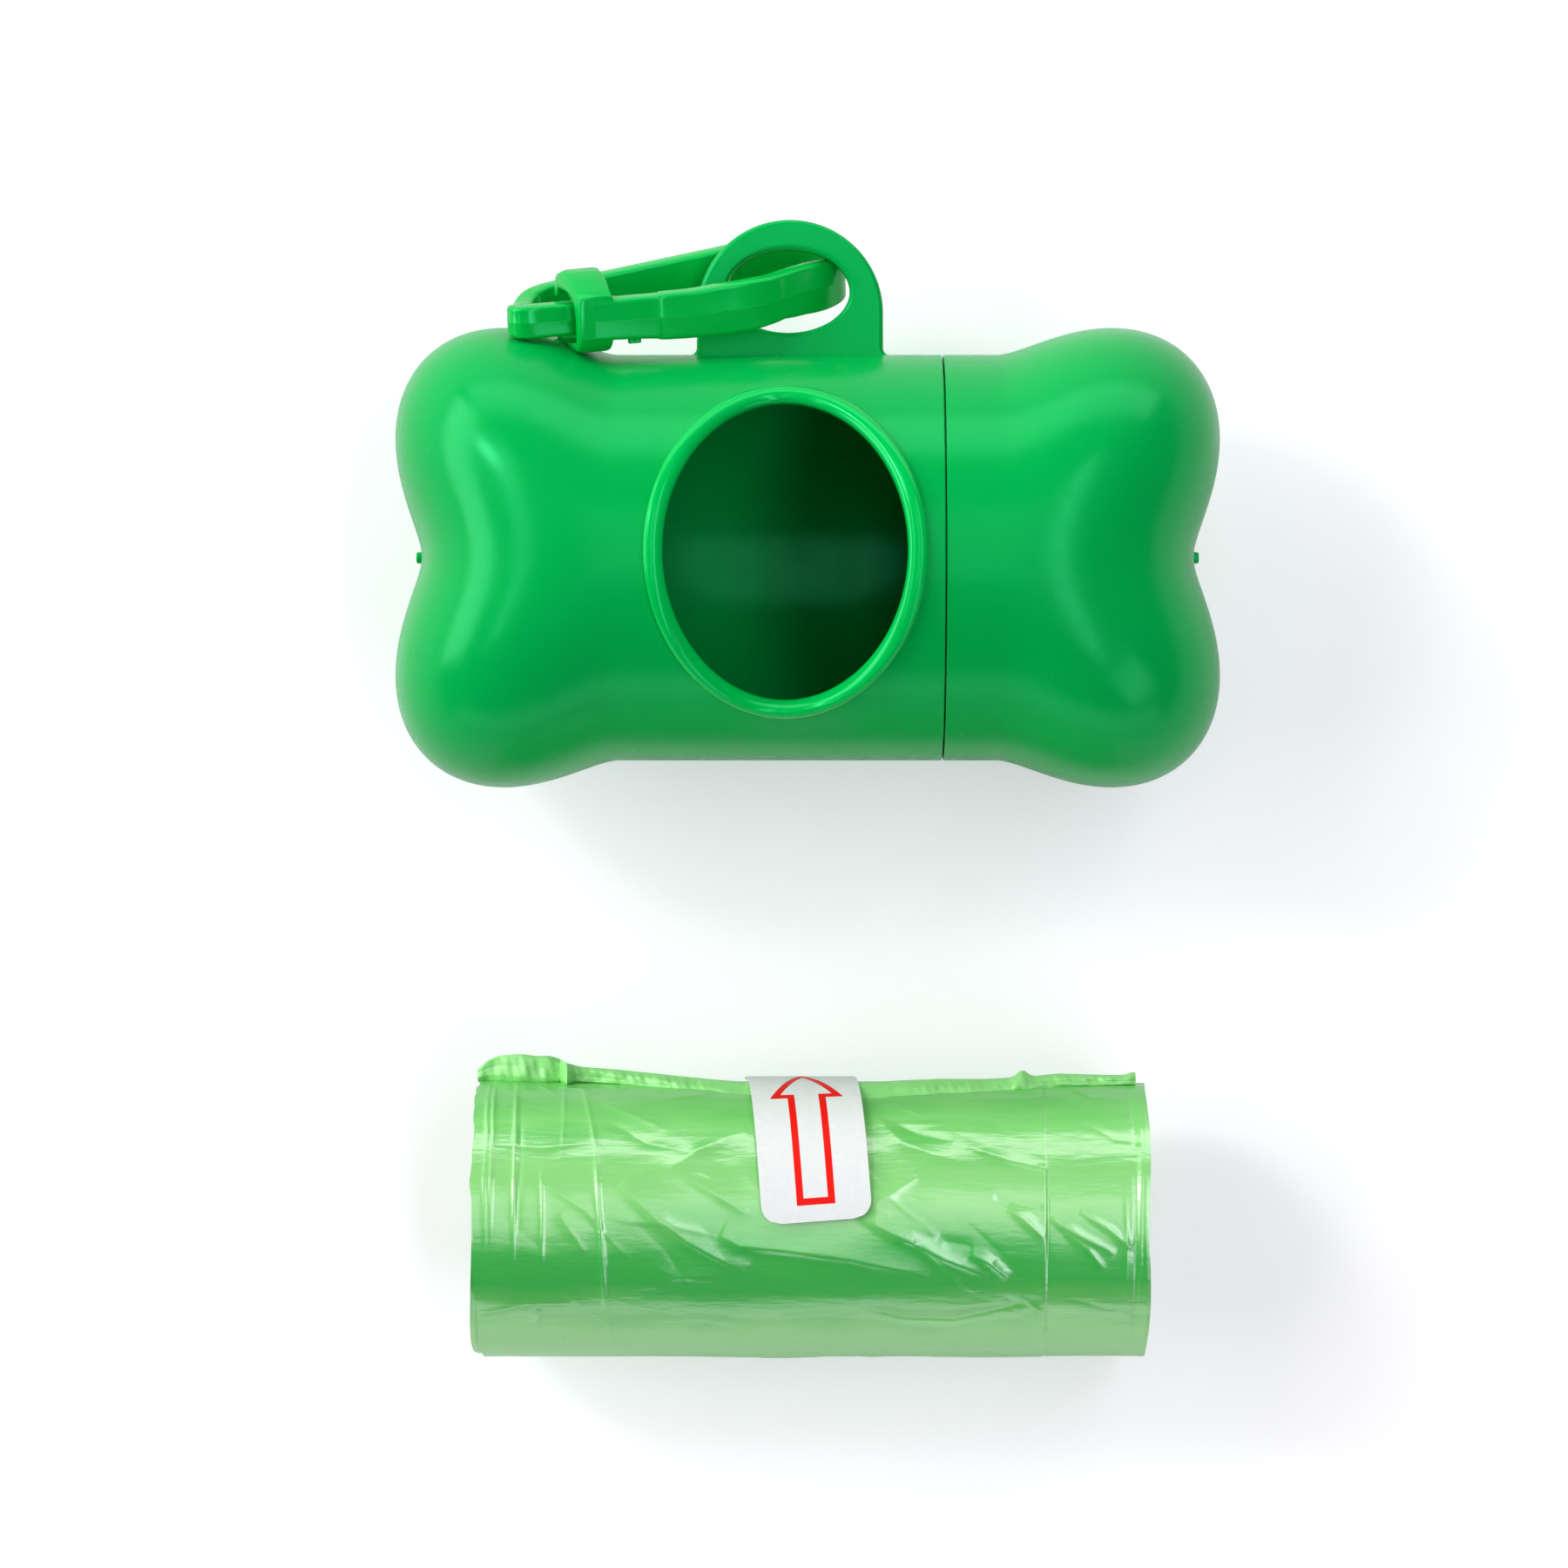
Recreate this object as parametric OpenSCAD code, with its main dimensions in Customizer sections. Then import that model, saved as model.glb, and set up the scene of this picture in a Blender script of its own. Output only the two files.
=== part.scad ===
// Bone-shaped bag dispenser with a snap hook, and its roll of bags.
// Millimetres. X runs along the dispenser, Y towards its eyelet, Z up from the table.

/* [Body] */
// Outside diameter of the straight tube
body_d = 39; // [37:0.5:42]
// Wall of the tube and of the lobed ends
wall = 1.6; // [1.2:0.1:2]
// Half length of the straight tube
tube_half = 18.2; // [18:0.1:20]
// Distance from the middle to the bottom of each end notch
notch_x = 37.05; // [35.5:0.05:39]
// Fullness of the end between its lobes
end_fullness = 2.6; // [2.2:0.1:3.2]
// Height of the two lobes at each end
lobe_rise = 5.9; // [4:0.1:7]
// Angle of the lobe tips from the long axis
lobe_angle = 46; // [42:1:52]
// Sharpness of the lobes
lobe_sharpness = 1.6; // [1.5:0.1:2.4]
// Extra swell on the diagonals of each end
diagonal_rise = 1; // [0:0.1:2]
// Diameter of the moulding gate mark at each end
gate_mark_d = 1.1; // [0.8:0.1:1.6]
// Height of the moulding gate mark
gate_mark_h = 0.6; // [0.3:0.1:0.8]

/* [Cap joint] */
// Distance from the middle to the seam between body and cap
seam_x = 13; // [12.2:0.1:13.6]
// Hairline left between the two rims
seam_gap = 0.12; // [0.05:0.01:0.2]
// Length of the spigot that enters the cap
spigot_l = 4.8; // [3:0.1:5]
// Wall of the spigot
spigot_wall = 1.2; // [0.9:0.1:1.5]
// Radial clearance of the spigot in the cap
spigot_gap = 0.08; // [0.05:0.01:0.1]
// Length of the spigot's root inside the body
spigot_root = 1.9; // [1.6:0.1:2.1]

/* [Outlet] */
// Distance from the middle to the centre of the outlet
outlet_x = -2.15; // [-3:0.05:-1.8]
// Overall width of the ring along the dispenser
ring_w = 26.7; // [24:0.1:27]
// Overall height of the ring across the dispenser
ring_h = 32; // [28:0.1:33]
// Width of the ring's bead
bead_w = 1.85; // [1.5:0.05:2.2]
// Height of the bead above the tube
bead_rise = 0.8; // [0.5:0.05:1.2]
// Step that rounds the bead's outer edge
bead_edge = 0.36; // [0.2:0.02:0.45]
// Thickness of the ring's skirt through the wall
skirt_t = 0.7; // [0.5:0.05:0.9]
// Clearance between the ring and the wall
ring_gap = 0.06; // [0.03:0.01:0.1]
// Thickness of the lip inside the wall
lip_t = 0.7; // [0.5:0.1:1]
// Width of the lip behind the wall
lip_w = 0.7; // [0.4:0.1:1]

/* [Eyelet] */
// Distance from the middle to the eyelet's centre
eyelet_x = -1.7; // [-4:0.1:1]
// Width of the eyelet plate
eyelet_w = 17.9; // [16:0.1:20]
// Thickness of the eyelet plate
eyelet_t = 3; // [2.4:0.1:3.6]
// Height of the plate's round centre above the tube
eyelet_rise = 4; // [3:0.1:5]
// Rounding of the plate's edges
eyelet_edge = 0.4; // [0.2:0.1:0.6]
// Centre of the oval hole along the dispenser
hole_x = -1.86; // [-2.2:0.02:-1.5]
// Height of the oval hole's centre above the plate's round centre
hole_rise = 2.1; // [1.7:0.1:2.5]
// Width of the oval hole
hole_w = 11.8; // [11.7:0.1:12.2]
// Height of the oval hole
hole_h = 8; // [8:0.1:8.4]

/* [Snap hook] */
// Length of the hook over all
hook_l = 31.4; // [30.8:0.1:31.6]
// Clear space between the hook's two strands
hook_gap = 7.8; // [7.6:0.1:8]
// Thickness of the strands in the plane of the hook
strand_t = 1.9; // [1.7:0.05:2]
// Width of the thin strands
strand_w = 3.2; // [3:0.1:3.3]
// Width of the near strand's middle
middle_w = 4.1; // [3.6:0.1:4.2]
// Width of the near strand by the eyelet
broad_w = 4.7; // [4.3:0.1:4.8]
// Where the hook's bend sits, measured from the hole's centre
bend_x = 3.4; // [3:0.1:3.5]
// How far the bend sits above the hole's centre
bend_y = 0.8; // [0.8:0.1:1.1]
// How far the bend sits behind the middle of the eyelet plate
hook_drop = 2; // [1.6:0.1:2.2]
// Slope of the hook against the dispenser
hook_yaw = 6.3; // [5.6:0.1:6.5]
// Rise of the hook's tip from the table
hook_pitch = 14.5; // [13.5:0.5:15.5]
// Lean of the hook on its side
hook_lean = 18; // [16:1:19]
// Length of the latch box
latch_l = 4.2; // [3.6:0.1:4.8]
// Width of the latch box
latch_w = 6.6; // [6.2:0.1:6.8]
// Depth of the latch box
latch_h = 6; // [5.4:0.1:6.4]
// Distance from the hook's tip to the latch box
latch_from_tip = 5.2; // [4.6:0.1:5.6]
// Upper cheek of the latch box
upper_cheek = 1.3; // [1:0.1:1.5]
// Lower cheek of the latch box
lower_cheek = 1.1; // [0.8:0.1:1.3]
// Thickness of the latch box's bridge over the near strand
latch_bridge = 2.05; // [1.95:0.05:2.3]
// Chamfer on the latch box's lower leading edge
latch_chamfer = 2; // [1.6:0.1:2.2]
// Length of the small nub beside the near strand
nub_l = 1.4; // [1:0.1:2]
// How far the nub stands out from the near strand
nub_out = 0.6; // [0.3:0.1:0.8]
// Distance of the nub from the latch box
nub_x = 1.3; // [1:0.1:1.5]
// Length of the near strand's middle, from the bend
middle_l = 17.3; // [16:0.1:18]
// Length of the near strand's broad part, from the bend
broad_l = 11; // [10:0.1:12]
// Extra thickness of the broad part on each face
broad_step = 0.1; // [0.05:0.01:0.12]
// Play of the sprung arm below the latch box
arm_play = 0.4; // [0.3:0.05:0.8]
// Reach of the sprung arm into the latch box
arm_reach = 3.6; // [3:0.1:4]
// Clearance round the arm's live hinge
hinge_gap = 0.06; // [0.03:0.01:0.1]

/* [Bag roll] */
// Diameter of the roll
roll_d = 27; // [24:0.5:30]
// Length of the outer bag
roll_l = 66; // [60:1:68]
// Distance from the dispenser's axis to the roll's
roll_y = -64; // [-72:1:-56]
// Offset of the roll's middle along the dispenser
roll_x = 0.3; // [-4:0.1:4]
// Outside diameter of the cardboard core
core_d = 14; // [12:0.5:16]
// Wall of the cardboard core
core_wall = 0.9; // [0.6:0.1:1.2]
// Length of the cardboard core
core_l = 62; // [56:1:66]
// Length of the wound film
film_l = 64; // [58:1:67]
// Thickness of the outer bag's last turn
outer_bag_t = 0.3; // [0.2:0.05:0.5]
// Part of the roll's underside that the last turn leaves free
outer_bag_open_angle = 50; // [30:5:80]
// Gap between layers of the roll
layer_gap = 0.05; // [0.03:0.01:0.1]
// Thickness of the gathered free edge
free_edge_t = 0.9; // [0.5:0.1:1.2]
// Thickness of the free edge pressed flat under the label
pressed_t = 0.3; // [0.2:0.05:0.4]
// Thickness of the free edge's bunched corner
bunch_t = 2.4; // [1.2:0.1:3]
// Length of the bunched corner
bunch_l = 7; // [5:0.5:9]
// Lowest angle of the free edge on the roll, up from the side facing the dispenser
free_edge_low_angle = -8; // [-15:1:0]
// Highest angle of the free edge on the roll
free_edge_high_angle = 27; // [20:1:35]
// Length of the gathered free edge
free_edge_l = 62; // [50:1:65]
// How far the pressed part of the free edge runs past the label
press_margin = 1; // [0.5:0.1:2]
// Width of the label
label_w = 10.5; // [9:0.5:14]
// Height of the label, measured straight across its curve
label_h = 21.9; // [16:0.1:22.5]
// Corner radius of the label
label_corner = 1.8; // [1:0.1:2.5]
// Turn of the label from the top of the roll towards the dispenser
label_turn = 54; // [45:1:60]
// Slant of the label
label_slant = 4; // [0:0.5:6]
// Thickness of the label
label_t = 0.12; // [0.08:0.01:0.2]

/* [Hidden] */
$fn = 96;
slop = 0.04;
body_r = body_d / 2;
bore_r = body_r - wall;
notch_depth = notch_x - tube_half;
lap = 0.4;
bite = 0.1;
eyelet_y = body_r + eyelet_rise;
hole_y = eyelet_y + hole_rise;

// The whole set is centred on the table, with the dispenser resting on its back.
hook_half = hook_gap / 2 + strand_t;
top_y = eyelet_y + eyelet_w / 2;
bottom_y = roll_y - roll_d / 2;
set_y = -(top_y + bottom_y) / 2;

green = "#00b860";
gloss_green = "#00c864";
film_green = "#9ce08c";

// ---------- lobed ends ----------

// Radius of an end, seen from its own centre: ph from the long axis, th from +Y.
function plain_end(ph, r, deep) =
    pow(pow(cos(ph) / deep, end_fullness) + pow(sin(ph) / r, end_fullness), -1 / end_fullness);
function swell(ph) = abs(sin(180 * pow(ph / 90, ln(0.5) / ln(lobe_angle / 90))));
function end_r(ph, th) = plain_end(ph, body_r, notch_depth)
    + lobe_rise * pow(swell(ph), lobe_sharpness) * pow(cos(th), 2)
    + diagonal_rise * pow(swell(ph), 2) * pow(sin(2 * th), 2);

function end_point(ph, th, r) =
    [tube_half + r * cos(ph), r * sin(ph) * cos(th), r * sin(ph) * sin(th)];

// One skin of an end as rings of points, from the tongue in the tube to the last ring.
function skin(inset, around, rings) = [
    for (j = [0 : rings]) let (ph = j == 0 ? 90 : 90 * (1 - (j - 1) / rings))
        for (i = [0 : around - 1]) let (
            th = 360 * i / around,
            p = end_point(ph, th, end_r(ph, th) - inset)
        ) j == 0 ? p - [lap, 0, 0] : p
];

// Triangles between two neighbouring rings of a skin.
function band(first, around, j) = [
    for (i = [0 : around - 1]) let (
        a = first + j * around + i,
        b = first + j * around + (i + 1) % around
    ) each [[a, b, b + around], [a, b + around, a + around]]
];

function turned(faces) = [for (f = faces) [f[2], f[1], f[0]]];

// Closed shell of the right-hand end, with a tongue that enters the tube's wall.
module end_shell() {
    around = 60;
    rings = 15;
    outer = skin(slop, around, rings);
    inner = skin(wall - slop, around, rings);
    count = len(outer);
    tips = [[notch_x - slop, 0, 0], [notch_x - wall + slop, 0, 0]];
    last = rings * around;
    outer_faces = [
        for (j = [0 : rings - 1]) each band(0, around, j),
        for (i = [0 : around - 1]) [last + i, last + (i + 1) % around, 2 * count]
    ];
    inner_faces = [
        for (j = [0 : rings - 1]) each band(count, around, j),
        for (i = [0 : around - 1]) [count + last + i, count + last + (i + 1) % around, 2 * count + 1]
    ];
    rim = [
        for (i = [0 : around - 1]) let (a = i, b = (i + 1) % around)
            each [[a, count + b, b], [a, count + a, count + b]]
    ];
    polyhedron(concat(outer, inner, tips),
        concat(turned(outer_faces), inner_faces, turned(rim)), convexity = 6);
}

module along_x(from, to, r) {
    translate([from, 0, 0]) rotate([0, 90, 0]) cylinder(h = to - from, r = r);
}

module tube(from, to, outer, inner) {
    difference() {
        along_x(from, to, outer);
        along_x(from - 1, to + 1, inner);
    }
}

module gate_mark() {
    translate([notch_x - wall / 2, 0, 0]) rotate([0, 90, 0])
        cylinder(h = wall / 2 + gate_mark_h, d1 = gate_mark_d + gate_mark_h, d2 = gate_mark_d, $fn = 24);
}

module at_dispenser() {
    translate([0, set_y, body_r]) children();
}

// ---------- outlet ----------

module oval(w, h, steps = 72) {
    polygon([for (i = [0 : steps - 1]) [w / 2 * cos(360 * i / steps), h / 2 * sin(360 * i / steps)]]);
}

// Straight oval column through the front wall at the outlet.
module outlet_column(inset) {
    translate([outlet_x, 0, body_r / 5])
        linear_extrude(body_r) oval(ring_w - 2 * inset, ring_h - 2 * inset);
}

module ring_layer(inset, outer, inner) {
    intersection() {
        outlet_column(inset);
        tube(-tube_half, seam_x, outer, inner);
    }
}

module outlet_ring() {
    skirt_inset = bead_w - skirt_t;
    color(gloss_green) at_dispenser() difference() {
        union() {
            ring_layer(0, body_r + bead_rise - bead_edge, body_r + ring_gap);
            ring_layer(bead_edge, body_r + bead_rise, body_r + ring_gap);
            ring_layer(skirt_inset, body_r + bead_rise / 2, bore_r - lip_t / 2);
            ring_layer(skirt_inset - lip_w, bore_r - ring_gap, bore_r - lip_t);
        }
        outlet_column(bead_w);
    }
}

// ---------- body ----------

module eyelet_outline(inset) {
    foot_y = bore_r + wall / 3;
    difference() {
        union() {
            translate([eyelet_x, eyelet_y]) circle(d = eyelet_w - 2 * inset);
            translate([eyelet_x - eyelet_w / 2 + inset, foot_y])
                square([eyelet_w - 2 * inset, eyelet_y - foot_y]);
        }
        translate([hole_x, hole_y]) oval(hole_w + 2 * inset, hole_h + 2 * inset, 60);
    }
}

module eyelet_plate() {
    translate([0, 0, -eyelet_t / 2]) linear_extrude(eyelet_t) eyelet_outline(eyelet_edge);
    core_t = eyelet_t - 2 * eyelet_edge;
    translate([0, 0, -core_t / 2]) linear_extrude(core_t) eyelet_outline(0);
}

// Ring that is rooted in the body and enters the cap.
module spigot() {
    outer = bore_r - spigot_gap;
    inner = outer - spigot_wall;
    root_r = bore_r + wall / 3;
    root_x = seam_x - seam_gap - wall / 3;
    bevel = spigot_wall / 4;
    rotate([0, 90, 0]) rotate_extrude() polygon([
        [inner, seam_x - spigot_root],
        [root_r, seam_x - spigot_root],
        [root_r, root_x],
        [outer, root_x],
        [outer, seam_x + spigot_l - bevel],
        [outer - bevel, seam_x + spigot_l],
        [inner, seam_x + spigot_l]
    ]);
}

module body_shell() {
    color(green) at_dispenser() difference() {
        union() {
            tube(-tube_half, seam_x - seam_gap, body_r, bore_r);
            mirror([1, 0, 0]) end_shell();
            mirror([1, 0, 0]) gate_mark();
            spigot();
            eyelet_plate();
        }
        outlet_column(bead_w - skirt_t - ring_gap);
    }
}

module end_cap() {
    color(green) at_dispenser() {
        tube(seam_x, tube_half, body_r, bore_r);
        end_shell();
        gate_mark();
    }
}

// ---------- snap hook ----------

bend_r = hook_half - strand_t / 2;
tip_x = -hook_l + strand_t / 2;
arm_z = hook_gap / 2 - arm_play - strand_t / 2;
curl_r = (arm_z + bend_r) / 2;
curl_z = (arm_z - bend_r) / 2;
curl_x = tip_x + strand_t / 2 + curl_r;
latch_x = tip_x - strand_t / 2 + latch_from_tip;

// The hook's own frame: X back to the bend, Z from the far strand to the near one.
module at_hook() {
    at_dispenser() translate([hole_x + bend_x, hole_y + bend_y, -hook_drop])
        rotate([0, hook_pitch, hook_yaw]) rotate([hook_lean, 0, 0]) children();
}

// Straight part of the strip: w wide, from one corner in the hook's plane.
module slab(w, from, size) {
    translate([from[0], w / 2, from[1]]) rotate([90, 0, 0])
        linear_extrude(w) square(size);
}

// Round part of the hook's strip, of radius r about a centre in the hook's plane.
module arc_ring(x, z, r, w) {
    translate([x, w / 2, z]) rotate([90, 0, 0]) difference() {
        cylinder(h = w, r = r + strand_t / 2);
        translate([0, 0, -1]) cylinder(h = w + 2, r = r - strand_t / 2);
    }
}

module bend(w) {
    intersection() {
        arc_ring(-bend_r, 0, bend_r, w);
        slab(w, [-bend_r, -2 * bend_r], [2 * bend_r, 4 * bend_r]);
    }
}

module hook_loop() {
    near_z = hook_gap / 2;
    near_x = latch_x + latch_l / 2;
    color(gloss_green) at_hook() difference() {
        union() {
            bend(strand_w);
            slab(strand_w, [near_x, near_z], [bite - bend_r - near_x, strand_t]);
            slab(strand_w, [curl_x, -near_z - strand_t], [bite - bend_r - curl_x, strand_t]);
            intersection() {
                arc_ring(curl_x, curl_z, curl_r, strand_w);
                slab(strand_w, [curl_x - 2 * curl_r, curl_z - 2 * curl_r],
                    [2 * curl_r + bite, 2 * curl_r - strand_t / 3]);
            }
            slab(middle_w, [-middle_l, near_z - broad_step / 2],
                [middle_l - bend_r, strand_t + broad_step]);
            slab(broad_w, [-broad_l, near_z - broad_step],
                [bite + broad_l - bend_r, strand_t + 2 * broad_step]);
            intersection() {
                bend(broad_w);
                slab(broad_w, [-bend_r, eyelet_t], [2 * bend_r, 2 * bend_r]);
            }
            latch_box(near_z);
            translate([latch_x + latch_l + nub_x, -strand_w / 2 - nub_out, near_z + broad_step])
                cube([nub_l, nub_out + bite, strand_t - 2 * broad_step]);
        }
        translate([tip_x, strand_w, curl_z]) rotate([90, 0, 0])
            cylinder(h = 2 * strand_w, r = strand_t / 2 + hinge_gap);
    }
}

// Open box on the near strand that the sprung arm shuts against.
module latch_box(near_z) {
    low_z = near_z + latch_bridge - latch_h;
    chamfer = sqrt(2) * latch_chamfer;
    difference() {
        translate([latch_x, -latch_w / 2, low_z]) cube([latch_l, latch_w, latch_h]);
        translate([latch_x - 1, lower_cheek - latch_w / 2, low_z - 1])
            cube([latch_l + 2, latch_w - lower_cheek - upper_cheek, latch_h - latch_bridge + 1]);
        translate([latch_x, -latch_w / 2, near_z]) rotate([0, 0, 45])
            cube([chamfer, chamfer, 4 * latch_h], center = true);
    }
}

module hook_arm() {
    color(gloss_green) at_hook() {
        intersection() {
            arc_ring(curl_x, curl_z, curl_r, strand_w);
            slab(strand_w, [curl_x - 2 * curl_r, curl_z], [2 * curl_r, 2 * curl_r]);
        }
        translate([tip_x, strand_w / 2, curl_z]) rotate([90, 0, 0])
            cylinder(h = strand_w, r = strand_t / 2);
        slab(strand_w, [curl_x - bite, arm_z - strand_t / 2],
            [latch_x + arm_reach - curl_x, strand_t]);
    }
}

// ---------- bag roll ----------

roll_r = roll_d / 2;
film_r = roll_r - outer_bag_t - layer_gap;

// The roll lies on its film beside the dispenser.
module at_roll() {
    translate([roll_x, set_y + roll_y, film_r]) children();
}

module roll_tube(l, outer, inner) {
    tube(-l / 2, l / 2, outer, inner);
}

module roll_core() {
    color("tan") at_roll() roll_tube(core_l, core_d / 2, core_d / 2 - core_wall);
}

module roll_film() {
    color(film_green) at_roll() roll_tube(film_l, film_r, core_d / 2 + layer_gap);
}

// Sector of the roll between two angles, up from the side that faces the dispenser.
module sector(from, to) {
    reach = 2 * roll_r;
    rotate([90, 0, 90]) linear_extrude(2 * roll_l, center = true)
        polygon([[0, 0], reach * [cos(from), sin(from)], reach * [cos(to), sin(to)]]);
}

// The bag's last turn wraps the roll and leaves off where the roll rests.
module outer_bag() {
    color(film_green) at_roll() difference() {
        roll_tube(roll_l, roll_r, roll_r - outer_bag_t);
        sector(-90 - outer_bag_open_angle / 2, -90 + outer_bag_open_angle / 2);
    }
}

// The bag's free edge lies gathered along the roll, bunched at one corner, pressed under the label.
module free_edge() {
    foot = roll_r + layer_gap;
    end_x = free_edge_l / 2;
    press_x = label_w / 2 + press_margin;
    color(film_green) at_roll() intersection() {
        rotate([0, 90, 0]) rotate_extrude() polygon([
            [foot, -end_x],
            [foot + bunch_t, -end_x],
            [foot + bunch_t, bunch_l - end_x],
            [foot + free_edge_t, 2 * bunch_l - end_x],
            [foot + free_edge_t, -press_x],
            [foot + pressed_t, -press_x],
            [foot + pressed_t, press_x],
            [foot + free_edge_t, press_x],
            [foot + free_edge_t, end_x],
            [foot, end_x]
        ]);
        sector(free_edge_low_angle, free_edge_high_angle);
    }
}

module rounded_plate(w, h, r) {
    translate([-w / 2 + r, -h / 2]) square([w - 2 * r, h]);
    translate([-w / 2, -h / 2 + r]) square([w, h - 2 * r]);
    for (x = [r - w / 2, w / 2 - r])
        for (y = [r - h / 2, h / 2 - r])
            translate([x, y]) circle(r, $fn = 24);
}

module roll_label() {
    inner = roll_r + 2 * layer_gap + pressed_t;
    color("white") at_roll() rotate([-label_turn, 0, 0]) intersection() {
        roll_tube(2 * label_w, inner + label_t, inner);
        rotate([0, 0, label_slant]) linear_extrude(2 * roll_r)
            rounded_plate(label_w, label_h, label_corner);
    }
}

body_shell();
end_cap();
outlet_ring();
hook_loop();
hook_arm();
roll_core();
roll_film();
outer_bag();
free_edge();
roll_label();
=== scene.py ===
import math

import bmesh
import bpy
import numpy as np
from mathutils import Matrix, Vector


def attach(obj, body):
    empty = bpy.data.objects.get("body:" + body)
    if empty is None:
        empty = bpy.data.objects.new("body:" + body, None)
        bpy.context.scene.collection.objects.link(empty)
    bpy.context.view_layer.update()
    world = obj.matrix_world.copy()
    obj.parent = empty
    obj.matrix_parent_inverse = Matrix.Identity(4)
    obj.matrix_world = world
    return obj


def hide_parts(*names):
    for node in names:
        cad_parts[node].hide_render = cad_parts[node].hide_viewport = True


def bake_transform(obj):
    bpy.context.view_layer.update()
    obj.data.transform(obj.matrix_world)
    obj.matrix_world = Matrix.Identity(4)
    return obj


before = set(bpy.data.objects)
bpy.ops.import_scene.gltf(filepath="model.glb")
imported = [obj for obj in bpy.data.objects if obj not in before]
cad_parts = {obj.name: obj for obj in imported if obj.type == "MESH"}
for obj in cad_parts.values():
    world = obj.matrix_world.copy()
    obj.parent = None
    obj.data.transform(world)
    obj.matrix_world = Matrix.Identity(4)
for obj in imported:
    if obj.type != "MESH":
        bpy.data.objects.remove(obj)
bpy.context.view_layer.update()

mm = 0.001


# Camera
# It looks straight down on the table from about seventy centimetres, with a long lens,
# so that the dispenser and the roll below it fill the square view.
camera_data = bpy.data.cameras.new("table_camera")
camera_data.sensor_width = 36.0
camera_data.lens = 167.0
camera_data.clip_start = 0.01
camera_data.clip_end = 20.0
camera = bpy.data.objects.new("table_camera", camera_data)
camera.location = (-2.27 * mm, 0.76 * mm, 719.5 * mm)
bpy.context.collection.objects.link(camera)
bpy.context.scene.camera = camera
bpy.context.scene.view_settings.view_transform = "Standard"


# Table
# A smooth white sheet of board that the dispenser and the roll lie on. It is plain and
# matt, shows as white to the camera, and keeps their soft shadows.
def node_material(name):
    material = bpy.data.materials.new(name)
    material.use_nodes = True
    return material, material.node_tree.nodes, material.node_tree.links


def noise_of(nodes, links, scale, detail=2.0, roughness=0.5, stretch=(1, 1, 1), turn=(0, 0, 0)):
    """Noise over the piece's own metres: scale is in lumps per metre."""
    place = nodes.new("ShaderNodeTexCoord")
    spread = nodes.new("ShaderNodeMapping")
    spread.inputs["Scale"].default_value = stretch
    spread.inputs["Rotation"].default_value = turn
    links.new(place.outputs["Object"], spread.inputs["Vector"])
    noise = nodes.new("ShaderNodeTexNoise")
    noise.inputs["Scale"].default_value = scale
    noise.inputs["Detail"].default_value = detail
    noise.inputs["Roughness"].default_value = roughness
    links.new(spread.outputs["Vector"], noise.inputs["Vector"])
    return noise.outputs["Fac"]


def ramp_of(nodes, links, factor, stops):
    """Colours or grey levels along a factor: stops are (place, colour)."""
    ramp = nodes.new("ShaderNodeValToRGB")
    for number, (place, colour) in enumerate(stops):
        stop = ramp.color_ramp.elements[number] if number < 2 else ramp.color_ramp.elements.new(place)
        stop.position = place
        stop.color = (*colour, 1) if hasattr(colour, "__len__") else (colour, colour, colour, 1)
    links.new(factor, ramp.inputs["Fac"])
    return ramp.outputs["Color"]


def bump_of(nodes, links, height, depth, under=None):
    bump = nodes.new("ShaderNodeBump")
    bump.inputs["Strength"].default_value = 1.0
    bump.inputs["Distance"].default_value = depth
    links.new(height, bump.inputs["Height"])
    if under is not None:
        links.new(under, bump.inputs["Normal"])
    return bump.outputs["Normal"]


table_white, nodes, links = node_material("white_board")
shader = nodes["Principled BSDF"]
board_tones = [(0.3, (0.785, 0.785, 0.79)), (0.7, (0.795, 0.795, 0.8))]
links.new(ramp_of(nodes, links, noise_of(nodes, links, 6.0), board_tones), shader.inputs["Base Color"])
shader.inputs["Roughness"].default_value = 0.7
shader.inputs["Specular IOR Level"].default_value = 0.2
shader.inputs["Emission Color"].default_value = (0.95, 0.91, 1.0, 1)

# The glow that the camera sees grows from the middle outwards, in metres, up to plain white.
seen = nodes.new("ShaderNodeLightPath")
away = nodes.new("ShaderNodeVectorMath")
away.operation = "LENGTH"
links.new(nodes.new("ShaderNodeTexCoord").outputs["Object"], away.inputs[0])
lift = nodes.new("ShaderNodeMath")
lift.operation = "MULTIPLY"
links.new(seen.outputs["Is Camera Ray"], lift.inputs[0])
links.new(ramp_of(nodes, links, away.outputs["Value"], [(0.3, 0.4), (0.9, 1.0)]), lift.inputs[1])
links.new(lift.outputs[0], shader.inputs["Emission Strength"])
bpy.ops.mesh.primitive_plane_add(size=8.0, location=(0, 0, -0.02 * mm))
table = bpy.context.object
table.name = "table"
table.data.materials.append(table_white)


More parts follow.
